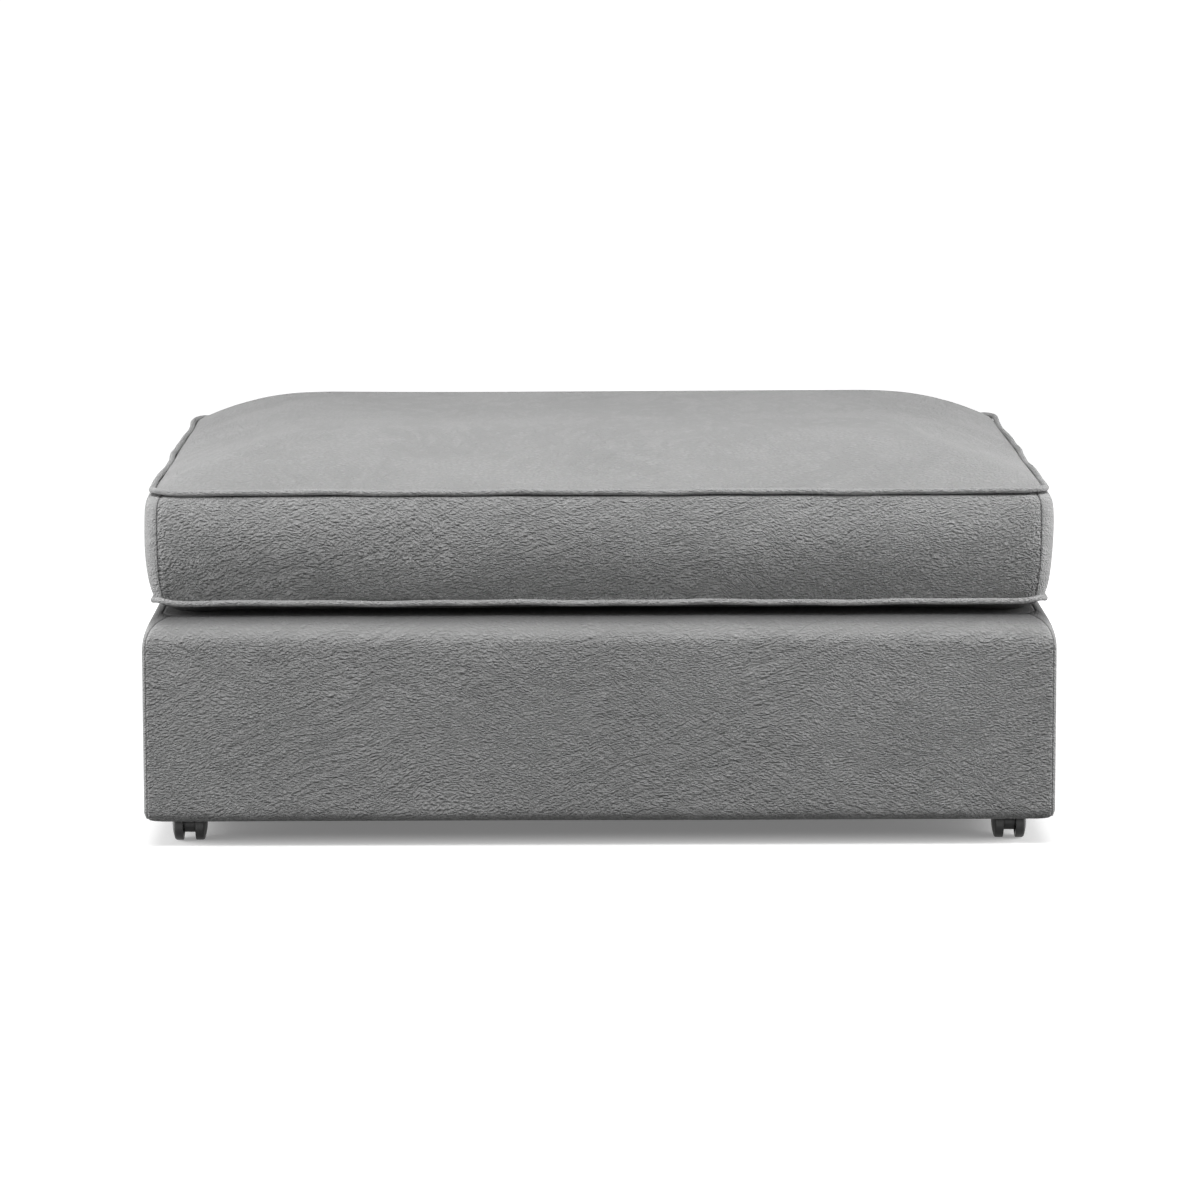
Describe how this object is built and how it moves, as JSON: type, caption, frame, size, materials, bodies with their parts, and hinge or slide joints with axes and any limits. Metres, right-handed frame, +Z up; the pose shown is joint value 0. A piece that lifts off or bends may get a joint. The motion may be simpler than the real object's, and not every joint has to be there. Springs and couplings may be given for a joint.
{
  "type": "ottoman coffee table",
  "caption": "Rectangular upholstered ottoman with a loose boxed and piped cushion on a sprung base that rolls on twin-wheel casters.",
  "frame": {"origin": "on the floor under the middle of the piece", "axes": "+Z up; +X along the long side, to the right seen from the front; the front faces -Y and the zip of the cushion is at +Y"},
  "size_m": [1.042, 0.79, 0.46],
  "materials": {
    "hardwood": "sawn",
    "fibreboard": "pressed board",
    "screw_steel": "zinc plated",
    "spring_steel": "oiled",
    "felt": "needled felt",
    "foam": "open cell foam",
    "fibre_wrap": "polyester fibre",
    "base_leather": "pebbled, semi-matt",
    "cushion_leather": "pebbled, semi-matt",
    "piping_leather": "pebbled, semi-matt",
    "dust_cloth": "non-woven",
    "zip_cloth": "woven tape",
    "zip_metal": "satin",
    "plated_steel": "zinc plated",
    "caster_plastic": "moulded",
    "wheel_plastic": "moulded"
  },
  "bodies": {
    "base": {"lower_rails": "hardwood", "upper_rails": "hardwood", "corner_posts": "hardwood", "caster_blocks": "hardwood", "rail_uprights": "hardwood", "centre_stretcher": "hardwood", "rail_screws": "screw_steel", "sinuous_springs": "spring_steel", "spring_clips": "spring_steel", "tie_wires": "spring_steel", "deck_insulator": "felt", "deck_foam": "foam", "right_board": "fibreboard", "left_board": "fibreboard", "rear_board": "fibreboard", "front_board": "fibreboard", "right_padding": "foam", "left_padding": "foam", "rear_padding": "foam", "front_padding": "foam", "front_cover": "base_leather", "rear_cover": "base_leather", "deck_cover": "base_leather", "right_cover": "base_leather", "left_cover": "base_leather", "dust_cover": "dust_cloth", "staples": "screw_steel", "caster_plates": "plated_steel", "caster_kingpins": "plated_steel", "caster_screws": "screw_steel"},
    "cushion": {"cushion_foam_core": "foam", "cushion_fibre_wrap": "fibre_wrap", "cushion_top_panel": "cushion_leather", "cushion_bottom_panel": "cushion_leather", "cushion_front_boxing": "cushion_leather", "cushion_rear_boxing": "cushion_leather", "cushion_right_boxing": "cushion_leather", "cushion_left_boxing": "cushion_leather", "cushion_top_piping": "piping_leather", "cushion_bottom_piping": "piping_leather", "zip_tape": "zip_cloth"},
    "zip_slider": {"zip_slider": "zip_metal"},
    "zip_pull": {"zip_pull": "zip_metal"},
    "caster_front_left": {"caster_housing_front_left": "caster_plastic", "caster_axle_front_left": "plated_steel"},
    "wheel_front_left_a": {"caster_wheel_front_left_a": "wheel_plastic"},
    "wheel_front_left_b": {"caster_wheel_front_left_b": "wheel_plastic"},
    "caster_front_right": {"caster_housing_front_right": "caster_plastic", "caster_axle_front_right": "plated_steel"},
    "wheel_front_right_a": {"caster_wheel_front_right_a": "wheel_plastic"},
    "wheel_front_right_b": {"caster_wheel_front_right_b": "wheel_plastic"},
    "caster_rear_left": {"caster_housing_rear_left": "caster_plastic", "caster_axle_rear_left": "plated_steel"},
    "wheel_rear_left_a": {"caster_wheel_rear_left_a": "wheel_plastic"},
    "wheel_rear_left_b": {"caster_wheel_rear_left_b": "wheel_plastic"},
    "caster_rear_right": {"caster_housing_rear_right": "caster_plastic", "caster_axle_rear_right": "plated_steel"},
    "wheel_rear_right_a": {"caster_wheel_rear_right_a": "wheel_plastic"},
    "wheel_rear_right_b": {"caster_wheel_rear_right_b": "wheel_plastic"}
  },
  "joints": [
    {"name": "cushion_lift", "type": "slide", "parent": "base", "child": "cushion", "axis": [0, 0, 1], "range_m": [0, 0.25]},
    {"name": "zip_slide", "type": "slide", "parent": "cushion", "child": "zip_slider", "axis": [-1, 0, 0], "range_m": [0, 0.79]},
    {"name": "zip_pull_flip", "type": "hinge", "parent": "zip_slider", "child": "zip_pull", "pos_m": [0.395, 0.3934, 0.3445], "axis": [0, 0, -1], "range_deg": [0, 160]},
    {"name": "swivel_front_left", "type": "hinge", "parent": "base", "child": "caster_front_left", "pos_m": [-0.472, -0.327, 0.04], "axis": [0, 0, 1], "continuous": true},
    {"name": "roll_front_left_a", "type": "hinge", "parent": "caster_front_left", "child": "wheel_front_left_a", "pos_m": [-0.472, -0.34, 0.02], "axis": [1, 0, 0], "continuous": true},
    {"name": "roll_front_left_b", "type": "hinge", "parent": "caster_front_left", "child": "wheel_front_left_b", "pos_m": [-0.472, -0.34, 0.02], "axis": [1, 0, 0], "continuous": true},
    {"name": "swivel_front_right", "type": "hinge", "parent": "base", "child": "caster_front_right", "pos_m": [0.472, -0.327, 0.04], "axis": [0, 0, 1], "continuous": true},
    {"name": "roll_front_right_a", "type": "hinge", "parent": "caster_front_right", "child": "wheel_front_right_a", "pos_m": [0.472, -0.34, 0.02], "axis": [1, 0, 0], "continuous": true},
    {"name": "roll_front_right_b", "type": "hinge", "parent": "caster_front_right", "child": "wheel_front_right_b", "pos_m": [0.472, -0.34, 0.02], "axis": [1, 0, 0], "continuous": true},
    {"name": "swivel_rear_left", "type": "hinge", "parent": "base", "child": "caster_rear_left", "pos_m": [-0.472, 0.327, 0.04], "axis": [0, 0, 1], "continuous": true},
    {"name": "roll_rear_left_a", "type": "hinge", "parent": "caster_rear_left", "child": "wheel_rear_left_a", "pos_m": [-0.472, 0.314, 0.02], "axis": [1, 0, 0], "continuous": true},
    {"name": "roll_rear_left_b", "type": "hinge", "parent": "caster_rear_left", "child": "wheel_rear_left_b", "pos_m": [-0.472, 0.314, 0.02], "axis": [1, 0, 0], "continuous": true},
    {"name": "swivel_rear_right", "type": "hinge", "parent": "base", "child": "caster_rear_right", "pos_m": [0.472, 0.327, 0.04], "axis": [0, 0, 1], "continuous": true},
    {"name": "roll_rear_right_a", "type": "hinge", "parent": "caster_rear_right", "child": "wheel_rear_right_a", "pos_m": [0.472, 0.314, 0.02], "axis": [1, 0, 0], "continuous": true},
    {"name": "roll_rear_right_b", "type": "hinge", "parent": "caster_rear_right", "child": "wheel_rear_right_b", "pos_m": [0.472, 0.314, 0.02], "axis": [1, 0, 0], "continuous": true}
  ]
}
